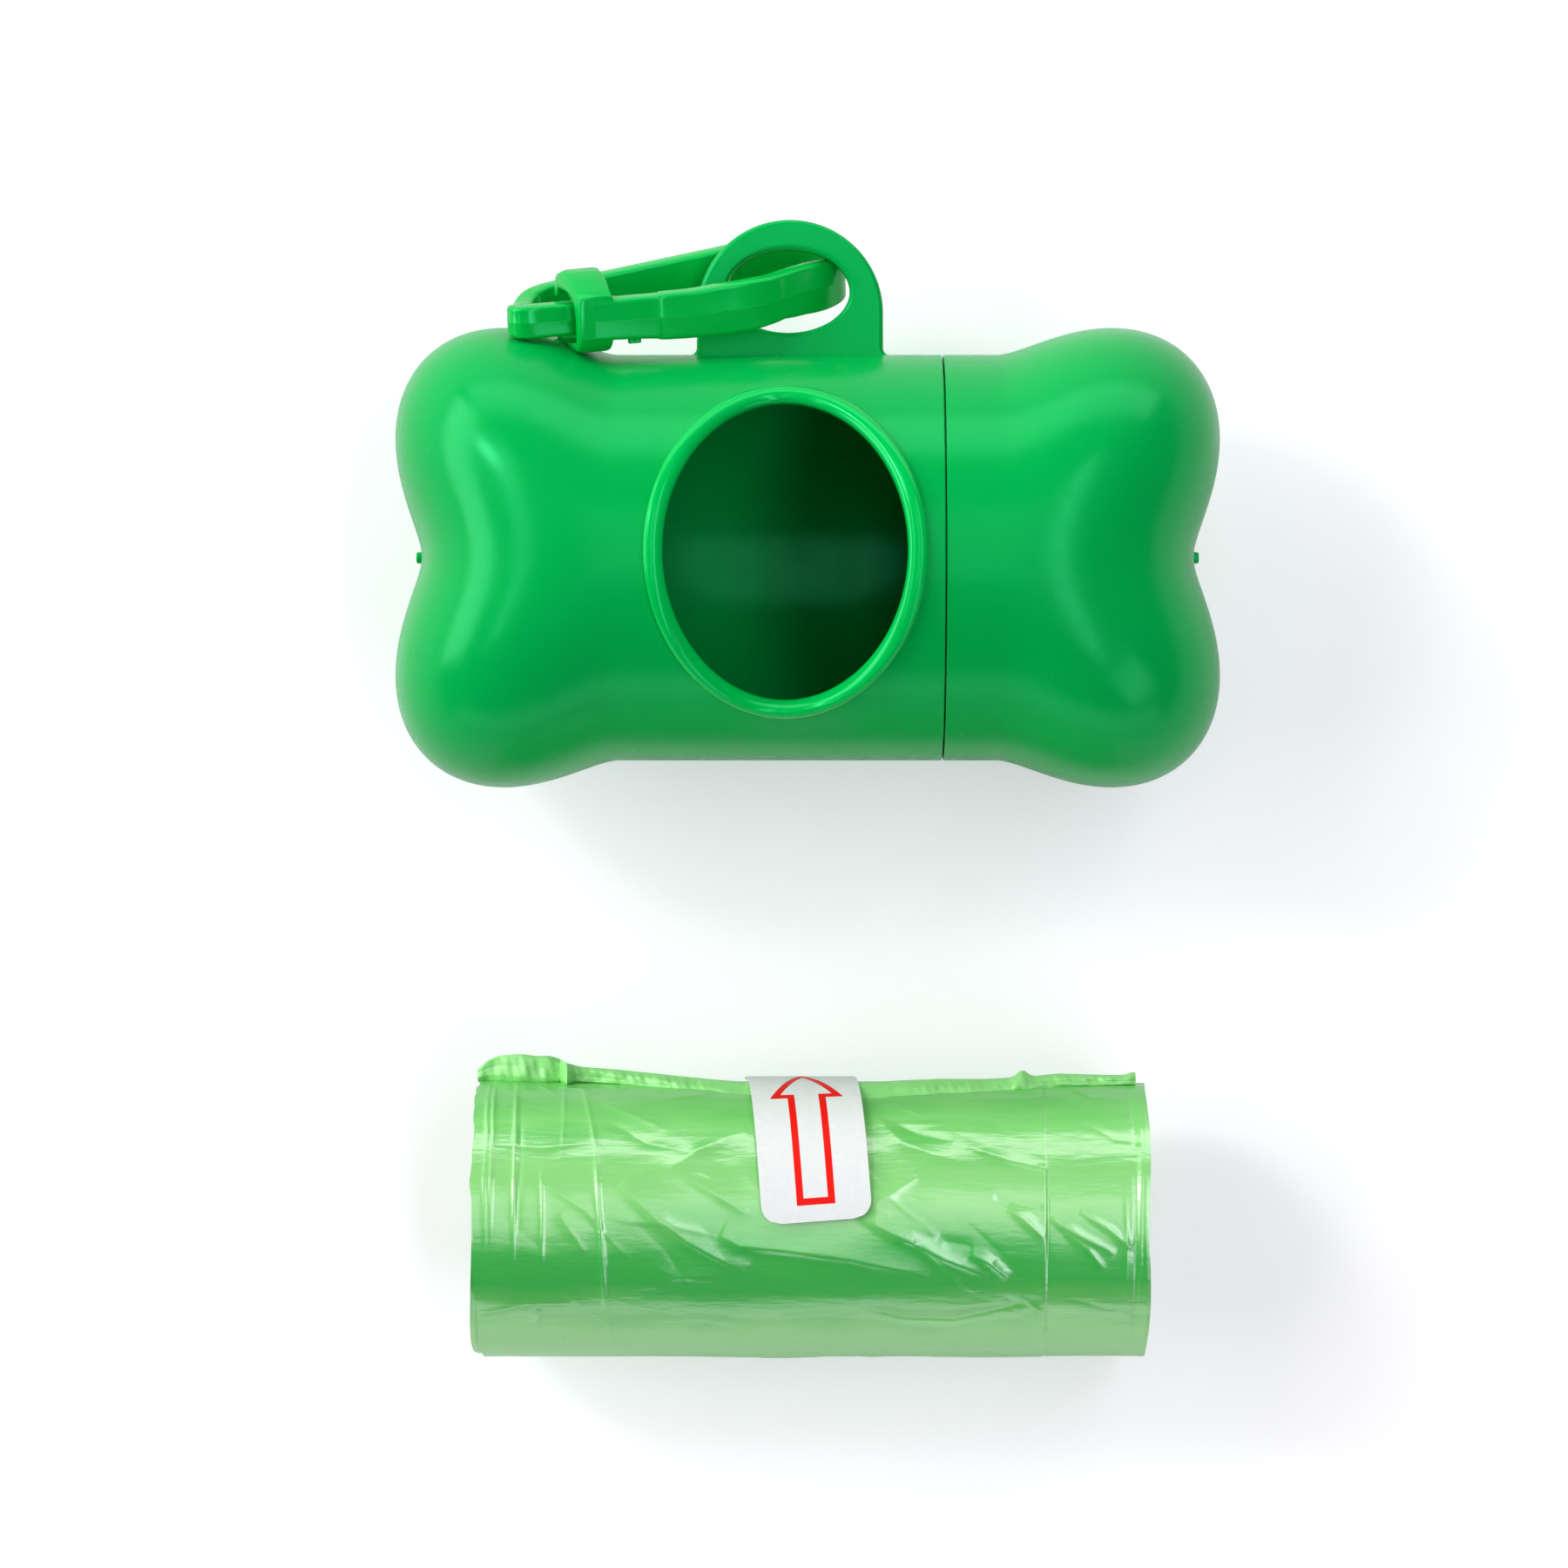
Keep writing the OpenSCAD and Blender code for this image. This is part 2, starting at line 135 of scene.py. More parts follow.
# Light
# Two long low windows stand beyond the left and the top edge. Narrow strip lights hang over
# the left and the right side and give the plastic its highlights, and two weak lamps fill in.
def soft_lamp(name, tilt, way, wide, long, amount, colour):
    """A soft lamp 3 m from the table: tilt is from overhead and way is round from +X, in degrees.

    wide and long are its sizes in degrees as seen from the table, and amount is the light it sends there."""
    distance = 3.0
    tilt, way = math.radians(tilt), math.radians(way)
    light = bpy.data.lights.new(name, "AREA")
    light.shape = "RECTANGLE"
    light.size = 2 * distance * math.tan(math.radians(wide / 2))
    light.size_y = 2 * distance * math.tan(math.radians(long / 2))
    light.energy = amount * math.pi * distance**2
    light.color = colour
    holder = bpy.data.objects.new(name, light)
    low = math.sin(tilt)
    place = Vector((low * math.cos(way), low * math.sin(way), math.cos(tilt))) * distance
    holder.location = place
    holder.rotation_euler = (-place).to_track_quat("-Z", "Y").to_euler()
    bpy.context.collection.objects.link(holder)


soft_lamp("left_window", 71, 160, 58, 24, 2.5, (1.0, 0.985, 0.965))
soft_lamp("top_window", 72, 84, 76, 26, 2.05, (1.0, 0.985, 0.965))
soft_lamp("left_strip", 37, 164, 50, 8, 0.5, (1.0, 1.0, 1.0))
soft_lamp("left_highlight", 49, 147, 9, 12, 0.6, (1.0, 1.0, 1.0))
soft_lamp("right_strip", 18, 0, 66, 9, 1.0, (0.94, 0.975, 1.0))
soft_lamp("overhead_strip", 6, 90, 10, 40, 0.2, (0.98, 0.99, 1.0))
soft_lamp("far_right_fill", 56, 315, 30, 20, 0.5, (0.9, 0.955, 1.0))
soft_lamp("low_front_fill", 79, 270, 90, 16, 0.7, (0.95, 0.975, 1.0))

room = bpy.data.worlds.new("white_room")
room.use_nodes = True
bpy.context.scene.world = room
nodes, links = room.node_tree.nodes, room.node_tree.links
sky = nodes["Background"]
sky.inputs["Color"].default_value = (0.95, 0.975, 1.0, 1)
sky.inputs["Strength"].default_value = 0.03
white = nodes.new("ShaderNodeBackground")
white.inputs["Color"].default_value = (1, 1, 1, 1)
white.inputs["Strength"].default_value = 1.0
rays = nodes.new("ShaderNodeLightPath")
choose = nodes.new("ShaderNodeMixShader")
links.new(rays.outputs["Is Camera Ray"], choose.inputs["Fac"])
links.new(sky.outputs["Background"], choose.inputs[1])
links.new(white.outputs["Background"], choose.inputs[2])
links.new(choose.outputs["Shader"], nodes["World Output"].inputs["Surface"])


# Body and end cap of the bone
# Two injection-moulded shells of satin green plastic. The cap pushes on over a thin spigot
# at the seam. Each closed end swells into two lobes, with the moulding gate's stub between.
axis_y, axis_z = 22.525 * mm, 19.5 * mm
tube_r, wall, half_tube = 19.5 * mm, 1.6 * mm, 18.2 * mm
seam_x, seam_gap, rim_round = 13.0 * mm, 0.12 * mm, 0.22 * mm
spigot_end, spigot_r, spigot_wall = 17.8 * mm, 17.82 * mm, 1.2 * mm
notch_x, fullness = 37.05 * mm, 2.6
lobe_rise, lobe_angle, lobe_sharpness, diagonal_rise = 5.9 * mm, 46, 1.6, 1.0 * mm
stub_r, stub_l = 0.55 * mm, 0.6 * mm
shell_steps, end_rows = 240, 84


def plastic(name, colour, deep, rough, grain, specular):
    """Moulded plastic: slow drift of colour, fine grain, faint rubbed patches and a green-tinged sheen."""
    material, nodes, links = node_material(name)
    shader = nodes["Principled BSDF"]
    drift = ramp_of(nodes, links, noise_of(nodes, links, 70, 3), [(0.3, deep), (0.7, colour)])
    links.new(drift, shader.inputs["Base Color"])
    patches = noise_of(nodes, links, 420, 5, 0.65)
    rubbed = ramp_of(nodes, links, patches, [(0.3, rough - 0.04), (0.72, rough + 0.05)])
    links.new(rubbed, shader.inputs["Roughness"])
    ripple = bump_of(nodes, links, noise_of(nodes, links, 260, 2), 6 * grain)
    pores = noise_of(nodes, links, 5200, 3, 0.6)
    links.new(bump_of(nodes, links, pores, grain, ripple), shader.inputs["Normal"])
    shader.inputs["Specular IOR Level"].default_value = specular
    shader.inputs["Specular Tint"].default_value = (0.12, 1.0, 0.5, 1)
    return material


def mesh_piece(name, points, faces, material, sharp=32):
    """A named mesh of points in metres, smooth but for edges sharper than the angle."""
    mesh = bpy.data.meshes.new(name)
    mesh.from_pydata([tuple(p) for p in points], [], faces)
    mesh.validate()
    piece = bpy.data.objects.new(name, mesh)
    bpy.context.collection.objects.link(piece)
    mesh.materials.append(material)
    smooth_but(piece, sharp)
    return piece


def smooth_but(piece, sharp):
    """Smooth faces with outward normals, and sharp edges where they meet at more than the angle."""
    work = bmesh.new()
    work.from_mesh(piece.data)
    bmesh.ops.recalc_face_normals(work, faces=work.faces)
    for face in work.faces:
        face.smooth = True
    for edge in work.edges:
        edge.smooth = len(edge.link_faces) == 2 and edge.calc_face_angle(0) < math.radians(sharp)
    work.to_mesh(piece.data)
    work.free()


def joined_rings(count, steps, closed=False):
    """Faces between rings of points that follow each other."""
    faces = []
    for ring in range(count if closed else count - 1):
        here, ahead = ring * steps, (ring + 1) % count * steps
        for i in range(steps):
            beside = (i + 1) % steps
            faces.append((here + i, here + beside, ahead + beside, ahead + i))
    return faces


def end_reach(tilt, around):
    """Distance from an end's centre to its skin, tilt from the long axis and around from +Y, in radians."""
    deep = notch_x - half_tube
    plain = ((np.cos(tilt) / deep) ** fullness + (np.sin(tilt) / tube_r) ** fullness) ** (-1 / fullness)
    power = math.log(0.5) / math.log(lobe_angle / 90)
    swell = np.abs(np.sin(np.pi * (2 * tilt / np.pi) ** power))
    return (
        plain
        + lobe_rise * swell**lobe_sharpness * np.cos(around) ** 2
        + diagonal_rise * swell**2 * np.sin(2 * around) ** 2
    )


around = np.linspace(0, 2 * np.pi, shell_steps, endpoint=False)


def round_ring(x, r):
    return np.stack([np.full_like(around, x), r * np.cos(around), r * np.sin(around)], 1)


def end_rings(inset, stub):
    """Rings of an end's skin from near its middle out to the tube, and with the stub on the outside."""
    first = 0.03 if stub else 0.02
    rings = []
    tilts = first + (np.pi / 2 - first) * np.linspace(0, 1, end_rows) ** 0.9
    if stub:
        stub_foot, beside_stub = half_tube + end_reach(np.array([1e-4]), np.array([0.0]))[0], 0.045
        for of_radius, of_length in ((0.30, 1.0), (0.82, 0.97), (0.97, 0.84), (1.0, 0.5), (1.05, 0.12)):
            rings.append(round_ring(stub_foot + of_length * stub_l, of_radius * stub_r))
        tilts = tilts[tilts > beside_stub]
    for tilt in tilts:
        reach = end_reach(np.full_like(around, tilt), around) - inset
        along = half_tube + reach * np.cos(tilt)
        across = reach * np.sin(tilt)
        rings.append(np.stack([along, across * np.cos(around), across * np.sin(around)], 1))
    return rings


def shell(name, rings, material):
    """Closed shell from rings that begin and end at the end's middle, outside and inside."""
    points = np.concatenate(rings)
    tips = np.array([rings[0].mean(0), rings[-1].mean(0)])
    faces = joined_rings(len(rings), shell_steps)
    total = len(points)
    faces += [((i + 1) % shell_steps, i, total) for i in range(shell_steps)]
    start = total - shell_steps
    faces += [(start + i, start + (i + 1) % shell_steps, total + 1) for i in range(shell_steps)]
    points = np.concatenate([points, tips]) + np.array([0, axis_y, axis_z])
    return mesh_piece(name, points, faces, material, 34)


def straight(start, stop, r, step=0.6 * mm):
    """Round rings about a step apart, after the start and up to the stop."""
    count = max(2, int(abs(stop - start) / step))
    return [round_ring(x, r) for x in np.linspace(start, stop, count + 1)[1:]]


def rim(x, way, outer, inner):
    """A rim at x, facing along way, with a small round on its outer edge."""
    return [
        round_ring(x - way * rim_round * 0.4, outer - 0.04 * rim_round),
        round_ring(x - way * rim_round * 0.12, outer - 0.3 * rim_round),
        round_ring(x, outer - rim_round),
        round_ring(x, inner),
    ]


satin_green = plastic("satin_green_plastic", (0.0003, 0.415, 0.074), (0.0003, 0.4, 0.07), 0.23, 1.0e-6, 0.45)

flip = np.array([-1, 1, 1])
rim_x = seam_x - seam_gap
inner_r = spigot_r - spigot_wall
body_rings = [ring * flip for ring in end_rings(0, True)]
body_rings += straight(-half_tube, rim_x - rim_round, tube_r)
body_rings += rim(rim_x, 1, tube_r, spigot_r)
body_rings += [
    round_ring(spigot_end - 0.3 * mm, spigot_r),
    round_ring(spigot_end, spigot_r - 0.3 * mm),
    round_ring(spigot_end, inner_r),
    round_ring(seam_x - 1.9 * mm, inner_r),
    round_ring(seam_x - 2.6 * mm, tube_r - wall),
]
body_rings += straight(seam_x - 2.6 * mm, -half_tube, tube_r - wall, 1.2 * mm)
body_rings += [ring * flip for ring in end_rings(wall, False)[::-1][1:]]
bone_body = shell("bone_body", body_rings, satin_green)

cap_rings = end_rings(0, True)
cap_rings += straight(half_tube, seam_x + rim_round, tube_r)
cap_rings += rim(seam_x, -1, tube_r, tube_r - wall)
cap_rings += straight(seam_x, half_tube, tube_r - wall, 1.2 * mm)
cap_rings += end_rings(wall, False)[::-1][1:]
bone_cap = shell("bone_cap", cap_rings, satin_green)
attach(bone_cap, "cap")
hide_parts("end_cap")

# Outlet
# The bag comes out of an oval window in the body's front. It is lined with a separate
# glossy ring: a bead lies on the tube, a skirt goes through the wall, and a lip snaps in behind.
outlet_x, outlet_y, ring_w, ring_h, window_in = -2.15 * mm, 22.7 * mm, 26.7 * mm, 31.65 * mm, 1.09 * mm
window_low, window_high, ring_steps = axis_z + 4 * mm, axis_z + 24 * mm, 220


def finished(piece):
    """Applies the piece's modifiers to its mesh."""
    bpy.context.view_layer.update()
    mesh = bpy.data.meshes.new_from_object(piece.evaluated_get(bpy.context.evaluated_depsgraph_get()))
    piece.modifiers.clear()
    piece.data = mesh
    return piece


def cut(piece, tool, way):
    """Cuts the tool out of the piece, or joins it on, and takes the tool away."""
    change = piece.modifiers.new("cut", "BOOLEAN")
    change.operation = way
    change.solver = "EXACT"
    change.object = tool
    finished(piece)
    bpy.data.objects.remove(tool)


def capped_rings(count, steps):
    """Faces between rings of points, and a flat face over the first and the last ring."""
    total = count * steps
    return joined_rings(count, steps) + [tuple(range(steps))[::-1], tuple(range(total - steps, total))]


turn = np.linspace(0, 2 * np.pi, ring_steps, endpoint=False)
half_w, half_h = ring_w / 2 - window_in, ring_h / 2 - window_in
window_x, window_y = outlet_x + half_w * np.cos(turn), outlet_y + half_h * np.sin(turn)
column = [np.stack([window_x, window_y, np.full_like(turn, z)], 1) for z in (window_low, window_high)]
window = mesh_piece("window", np.concatenate(column), capped_rings(2, ring_steps), satin_green)
cut(bone_body, window, "DIFFERENCE")
smooth_but(bone_body, 34)
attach(bone_body, "dispenser")
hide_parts("body_shell")

# The bead goes in from its outer edge: inset, rise at the sides and rise at the lower end, in mm.
bead = [
    (0.02, 0.03, 0.03), (0.0, 0.28, 0.4), (0.04, 0.5, 0.8), (0.14, 0.65, 1.02), (0.34, 0.76, 1.12),
    (0.6, 0.8, 1.02), (0.9, 0.8, 0.76), (1.18, 0.76, 0.44), (1.44, 0.67, 0.08), (1.66, 0.52, -0.26),
    (1.8, 0.33, -0.56), (1.85, 0.05, -0.85), (1.85, -1.2, -1.4), (1.85, -2.0, -2.0), (1.7, -2.28, -2.28),
    (0.45, -2.28, -2.28), (0.45, -1.7, -1.7), (1.15, -1.68, -1.68), (1.15, 0.02, 0.02),
]
# The bead slopes inwards at the lower end, half as much at the upper end and not at the sides.
lean = np.sin(turn) ** 2 * np.where(np.sin(turn) < 0, 1.0, 0.5)
ring_points = []
for inset, side_rise, end_rise in bead:
    x = outlet_x + (ring_w / 2 - inset * mm) * np.cos(turn)
    y = (ring_h / 2 - inset * mm) * np.sin(turn)
    rise = (side_rise + (end_rise - side_rise) * lean) * mm
    height = axis_z + np.sqrt((tube_r + rise) ** 2 - (y + outlet_y - axis_y) ** 2)
    ring_points.append(np.stack([x, outlet_y + y, height], 1))
ring_faces = joined_rings(len(bead), ring_steps, closed=True)
gloss_green = plastic("glossy_green_plastic", (0.0003, 0.53, 0.085), (0.0003, 0.5, 0.08), 0.15, 6.0e-7, 0.6)
outlet_ring = mesh_piece("outlet_ring_gloss", np.concatenate(ring_points), ring_faces, gloss_green, 50)
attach(outlet_ring, "dispenser")
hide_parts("outlet_ring")

# Eyelet
# A flat plate with an oval hole, moulded in one with the body along the tube's back. Its
# edges are rounded so that the hook swings freely in it.
eyelet_x, eyelet_y, eyelet_r, eyelet_t = -1.7 * mm, 23.5 * mm, 8.95 * mm, 3.0 * mm
hole_x, hole_y, hole_w, hole_h = -1.86 * mm, 25.6 * mm, 11.8 * mm, 8.0 * mm
edge_round = 0.5 * mm
foot, skirt_y, flare = 18.6 * mm, 19.45 * mm, 0.7 * mm


def closed_line(curve, line):
    """Adds a closed line of (x, y) points to the curve."""
    spline = curve.splines.new("POLY")
    spline.points.add(len(line) - 1)
    for point, (x, y) in zip(spline.points, line):
        point.co = (x, y, 0, 1)
    spline.use_cyclic_u = True


def oval(x, y, half_wide, half_high, turns):
    return [(x + half_wide * math.cos(a), y + half_high * math.sin(a)) for a in turns]


plate_curve = bpy.data.curves.new("eyelet_outline", "CURVE")
plate_curve.dimensions = "2D"
plate_curve.fill_mode = "BOTH"
plate_curve.extrude = eyelet_t / 2 - edge_round
plate_curve.bevel_depth = edge_round
plate_curve.bevel_resolution = 4
plate_curve.offset = -edge_round
arc = oval(eyelet_x, eyelet_y, eyelet_r, eyelet_r, np.linspace(0, np.pi, 72))
right, left = eyelet_x + eyelet_r, eyelet_x - eyelet_r
quarter = np.linspace(0, np.pi / 2, 7)
skirt_right = [(right + flare * (1 - math.sin(a)), skirt_y + flare * (1 - math.cos(a))) for a in quarter]
skirt_left = [(2 * eyelet_x - x, y) for x, y in skirt_right]
foot_right, foot_left = (right + flare, foot), (left - flare, foot)
closed_line(plate_curve, [foot_right] + skirt_right + arc + skirt_left[::-1] + [foot_left])
hole_turns = np.linspace(2 * np.pi, 0, 96, endpoint=False)
closed_line(plate_curve, oval(hole_x, hole_y, hole_w / 2, hole_h / 2, hole_turns))
plate = bpy.data.objects.new("eyelet_plate", plate_curve)
bpy.context.collection.objects.link(plate)
bpy.context.view_layer.update()
plate_mesh = bpy.data.meshes.new_from_object(plate.evaluated_get(bpy.context.evaluated_depsgraph_get()))
bpy.data.objects.remove(plate)
eyelet = bpy.data.objects.new("eyelet_plate", plate_mesh)
bpy.context.collection.objects.link(eyelet)
eyelet.data.transform(Matrix.Translation((0, axis_y, axis_z)))
work = bmesh.new()
work.from_mesh(eyelet.data)
bmesh.ops.remove_doubles(work, verts=work.verts, dist=1e-6)
work.to_mesh(eyelet.data)
work.free()
eyelet.data.materials.clear()
eyelet.data.materials.append(satin_green)
smooth_but(eyelet, 34)
weigh = eyelet.modifiers.new("flat_faces_stay_flat", "WEIGHTED_NORMAL")
weigh.keep_sharp = True
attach(eyelet, "dispenser")

# Snap hook
# One moulding of glossy green plastic, a flat strip bent into a loop through the eyelet.
# The strip's free end is the sprung arm, which snaps shut in the latch box.
hook_place = (
    Matrix.Translation((1.54 * mm, 48.925 * mm, 17.5 * mm))
    @ Matrix.Rotation(math.radians(6.3), 4, "Z")
    @ Matrix.Rotation(math.radians(14.5), 4, "Y")
    @ Matrix.Rotation(math.radians(18), 4, "X")
)
strip_t, strip_edge = 1.9, 0.42
part_line_half, part_line_top, part_line_h = 0.16, 0.06, 0.035
hook_green = plastic("hook_green_plastic", (0.0003, 0.5, 0.066), (0.0003, 0.47, 0.06), 0.17, 1.0e-6, 0.75)


def smooth_line(stations, steps):
    """Points on a smooth line through the stations, each with its width."""
    stations = [np.array(s, float) for s in stations]
    stations = [2 * stations[0] - stations[1]] + stations + [2 * stations[-1] - stations[-2]]
    line = []
    for a, b, c, d in zip(stations, stations[1:], stations[2:], stations[3:]):
        for t in np.linspace(0, 1, steps, endpoint=False):
            start = 2 * b + (c - a) * t + (2 * a - 5 * b + 4 * c - d) * t**2
            line.append(0.5 * (start + (3 * b - a - 3 * c + d) * t**3))
    return line + [stations[-2]]


def strip_section(width):
    """Section of the strip, with rounded edges and a fine parting line along its outer face."""
    w, t, e = width / 2, strip_t / 2, strip_edge
    corner = [(math.sin(a), math.cos(a)) for a in np.linspace(0, np.pi / 2, 6)]
    line = [(-part_line_half, t), (-part_line_top, t + part_line_h)]
    line += [(part_line_top, t + part_line_h), (part_line_half, t)]
    line += [(w - e + e * s, t - e + e * c) for s, c in corner]
    line += [(w - e + e * c, -t + e - e * s) for s, c in corner]
    line += [(part_line_half, -t), (-part_line_half, -t)]
    line += [(-w + e - e * s, -t + e - e * c) for s, c in corner]
    line += [(-w + e - e * c, t - e + e * s) for s, c in corner]
    return line


def strip(stations, steps):
    """Points and faces of the strip along (x, z, y, width) stations in the hook's own millimetres."""
    line = smooth_line(stations, steps)
    centres = np.array([(s[0], s[2], s[1]) for s in line])
    points = []
    for number, station in enumerate(line):
        ahead = centres[min(number + 1, len(line) - 1)] - centres[max(number - 1, 0)]
        ahead /= np.linalg.norm(ahead)
        out = np.array([-ahead[2], 0, ahead[0]])
        out /= np.linalg.norm(out)
        side = np.cross(out, ahead)
        points += [centres[number] + u * side + v * out for u, v in strip_section(station[3])]
    return np.array(points) * mm, capped_rings(len(line), len(points) // len(line))


def hook_piece(name, points, faces, sharp=30):
    """A green piece from points in the hook's own frame, moved to where the hook hangs."""
    piece = mesh_piece(name, points, faces, hook_green, sharp)
    piece.data.transform(hook_place)
    return piece


near_strand = [
    (-24.2, 4.85, -0.1, 3.9), (-20.5, 4.85, -0.17, 4.07), (-18.0, 4.85, -0.27, 4.25),
    (-17.4, 4.9, -0.28, 4.49), (-14.5, 4.92, -0.31, 4.62), (-11.6, 4.95, -0.15, 4.79),
    (-9.6, 5.0, -0.04, 4.83), (-8.1, 4.9, 0.11, 4.78), (-6.6, 4.5, 0.25, 4.59),
    (-5.6, 3.95, 0.34, 4.48), (-4.4, 3.3, 0.35, 4.63), (-3.0, 2.5, 0.36, 4.72),
]
bend_in_eyelet = [
    (-1.5, 1.6, 0.31, 4.82), (-0.1, 0.6, 0.25, 4.7), (1.1, -0.5, 0.2, 4.3), (1.7, -1.8, 0.38, 4.15),
    (1.0, -3.2, 0.88, 3.95), (-0.9, -4.3, 1.4, 3.7), (-3.8, -4.8, 1.8, 3.7),
]
far_strand = [
    (-6.5, -4.85, 1.9, 3.6), (-10, -4.85, 1.55, 3.5), (-15, -4.85, 1.0, 3.4), (-20, -4.85, 0.45, 3.3),
    (-24.4, -4.85, 0.05, 3.2),
]
snap_hook = hook_piece("snap_hook", *strip(near_strand + bend_in_eyelet + far_strand, 5))

# The latch box on the strip is open towards the far strand, so that the arm can be pressed
# in past its two lips. Its left face slants, and its sides flare away from the strip.
arch = [
    (1.6, -0.6), (2.9, -0.6), (3.65, -0.2), (4.0, 0.7), (3.85, 2.1), (3.4, 3.4), (2.85, 4.6), (2.3, 5.75),
    (-1.75, 5.75), (-2.7, 5.2), (-3.35, 4.5), (-3.5, 3.0), (-3.4, 0.0), (-3.1, -0.6), (-2.1, -0.6),
]
hollow = [
    (-2.1, 0.2), (-2.45, 0.25), (-2.6, 3.4), (-2.3, 4.6), (0.3, 4.6), (1.5, 4.2), (2.3, 2.6), (2.3, 0.5),
    (2.0, 0.2), (1.6, 0.2),
]
box_left, box_right, box_slant, box_l = -26.6, -22.35, 0.14, 4.0
latch_rings = []
for inward, along_box in ((0.55, 0.0), (0.16, 0.22), (0.0, 0.7), (0.0, 3.3), (0.12, 3.8), (0.4, 4.0)):
    ring = []
    for number, (y, z) in enumerate(arch + hollow):
        left_face = box_left + box_slant * (z + 0.6)
        x = left_face + (box_right - left_face) * along_box / box_l
        narrow = inward * (1 if number < len(arch) else -0.15)
        ring.append((x * mm, (y - math.copysign(narrow, y)) * mm, z * mm))
    latch_rings.append(np.array(ring))
latch_faces = capped_rings(len(latch_rings), len(latch_rings[0]))
latch_box = hook_piece("latch_box", np.concatenate(latch_rings), latch_faces, 40)
soften = latch_box.modifiers.new("moulded_edges", "BEVEL")
soften.width = 0.14 * mm
soften.segments = 3
soften.limit_method = "ANGLE"
soften.angle_limit = math.radians(42)
finished(latch_box)
cut(snap_hook, latch_box, "UNION")

# A small nub stands on the near strand's edge, where the plastic entered the mould.
nub_x, nub_z, nub_half_x, nub_half_z, nub_round = -20.2, 4.85, 0.6, 0.35, 0.12
nub_line = []
for number, (way_z, way_x) in enumerate(((1, 1), (-1, 1), (-1, -1), (1, -1))):
    for a in number * np.pi / 2 + np.linspace(0, np.pi / 2, 3):
        x = nub_x + way_x * (nub_half_x - nub_round) + nub_round * math.sin(a)
        z = nub_z + way_z * (nub_half_z - nub_round) + nub_round * math.cos(a)
        nub_line.append((x, z))
nub_rings = [np.array([(x * mm, y * mm, z * mm) for x, z in nub_line]) for y in (-2.7, -1.6)]
nub = hook_piece("nub", np.concatenate(nub_rings), capped_rings(2, len(nub_line)))
cut(snap_hook, nub, "UNION")
smooth_but(snap_hook, 30)
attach(snap_hook, "hook")
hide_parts("hook_loop")

# The sprung arm goes on from the far strand, round the hook's thin outer bend and back into
# the latch box.
arm_stations = [
    (-24.4, -4.85, 0.05, 3.2), (-26.2, -4.75, -0.1, 3.1), (-27.7, -4.2, -0.2, 2.8),
    (-28.7, -3.2, -0.25, 2.3), (-29.3, -2.0, -0.25, 2.0), (-29.8, -0.8, -0.25, 2.0),
    (-30.3, 0.4, -0.25, 2.4), (-30.8, 1.5, -0.25, 2.9), (-30.6, 2.35, -0.25, 3.1),
    (-29.6, 2.6, -0.25, 3.15), (-27.5, 2.55, -0.28, 3.15), (-25.4, 2.5, -0.32, 3.1),
    (-23.4, 2.5, -0.32, 3.1), (-22.5, 2.5, -0.3, 3.0), (-21.9, 2.4, -0.1, 3.2), (-21.4, 2.2, 0.0, 3.0),
]
spring_arm = hook_piece("spring_arm_strip", *strip(arm_stations, 5))
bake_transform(spring_arm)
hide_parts("hook_arm")

# Bag roll: cardboard core and wound film
# Thin green polythene bags wound on a short cardboard tube. The windings show at the ends
# as fine uneven layers.
roll_x, roll_y, roll_z = 0.3 * mm, -41.475 * mm, 13.15 * mm
core_r, core_bore, core_half = 7.0 * mm, 6.1 * mm, 31.0 * mm
core_round, bore_round, core_steps = 0.15 * mm, 0.1 * mm, 96
film_r, film_half, band_reach = 13.0 * mm, 32.2 * mm, 13.5 * mm
roll_steps, layers = 240, 46


def at_roll(points):
    """Points round the roll's axis, moved to where the roll lies."""
    return np.array(points) + np.array([roll_x, roll_y, roll_z])


def wheel_ring(x, r, steps):
    a = np.linspace(0, 2 * np.pi, steps, endpoint=False)
    return np.stack([np.full(steps, x), r * np.cos(a), r * np.sin(a)], 1)


cardboard, nodes, links = node_material("grey_brown_cardboard")
shader = nodes["Principled BSDF"]
fibre = noise_of(nodes, links, 900, 6, 0.7, (0.35, 1, 1))
board_browns = [(0.3, (0.36, 0.25, 0.15)), (0.7, (0.5, 0.37, 0.24))]
links.new(ramp_of(nodes, links, fibre, board_browns), shader.inputs["Base Color"])
links.new(bump_of(nodes, links, fibre, 3e-5), shader.inputs["Normal"])
shader.inputs["Roughness"].default_value = 0.9
core_profile = (
    (-core_half + core_round, core_r), (core_half - core_round, core_r), (core_half, core_r - core_round),
    (core_half, core_bore + bore_round), (core_half - bore_round, core_bore),
    (-core_half + bore_round, core_bore), (-core_half, core_bore + bore_round),
    (-core_half, core_r - core_round),
)
core_rings = [wheel_ring(x, r, core_steps) for x, r in core_profile]
core_faces = joined_rings(len(core_profile), core_steps, closed=True)
core = mesh_piece("cardboard_core", at_roll(np.concatenate(core_rings)), core_faces, cardboard)
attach(core, "bag_roll")
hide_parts("roll_core")


